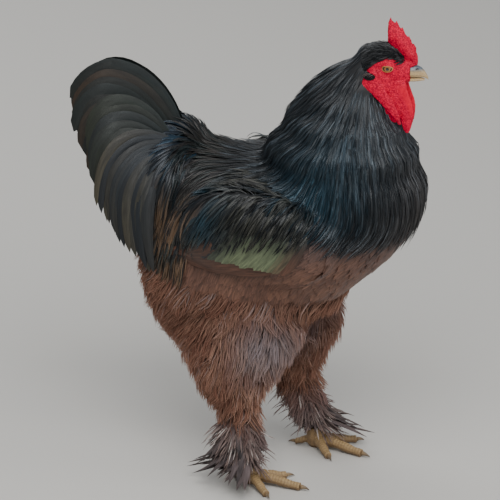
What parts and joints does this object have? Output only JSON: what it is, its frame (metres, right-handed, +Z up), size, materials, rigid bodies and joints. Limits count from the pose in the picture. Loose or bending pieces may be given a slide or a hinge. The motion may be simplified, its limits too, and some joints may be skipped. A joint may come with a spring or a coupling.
{
  "type": "brahma cock",
  "caption": "Still life-size model of a standing feather-legged cock with a pea comb, long hackle, folded wings and an upright curved tail.",
  "frame": {"origin": "on the floor below the middle of the bird's box", "axes": "+X the way the bird faces, +Y its left side, +Z up"},
  "size_m": [0.5172, 0.3284, 0.6952],
  "materials": {
    "plumage": "glossy black feathers",
    "fluff": "soft brown body feathers",
    "red_skin": "soft granular red skin",
    "beak_horn": "smooth horn, yellow with a bluish top",
    "claw_horn": "smooth horn",
    "shank_skin": "scaled yellow skin",
    "iris": "wet amber eye"
  },
  "bodies": {
    "root": {"beak_lower": "beak_horn", "beak_upper": "beak_horn", "claw_left_hind": "claw_horn", "claw_left_inner": "claw_horn", "claw_left_middle": "claw_horn", "claw_left_outer": "claw_horn", "claw_right_hind": "claw_horn", "claw_right_inner": "claw_horn", "claw_right_middle": "claw_horn", "claw_right_outer": "claw_horn", "comb": "red_skin", "earlobe_left": "red_skin", "earlobe_right": "red_skin", "eye_left": "iris", "eye_right": "iris", "foot_left": "shank_skin", "foot_right": "shank_skin", "head": "red_skin", "neck": "plumage", "saddle": "plumage", "shank_left": "fluff", "shank_right": "fluff", "tail": "plumage", "thigh_left": "fluff", "thigh_right": "fluff", "torso": "plumage", "wattle_left": "red_skin", "wattle_right": "red_skin", "wing_left": "plumage", "wing_right": "plumage"}
  },
  "joints": []
}
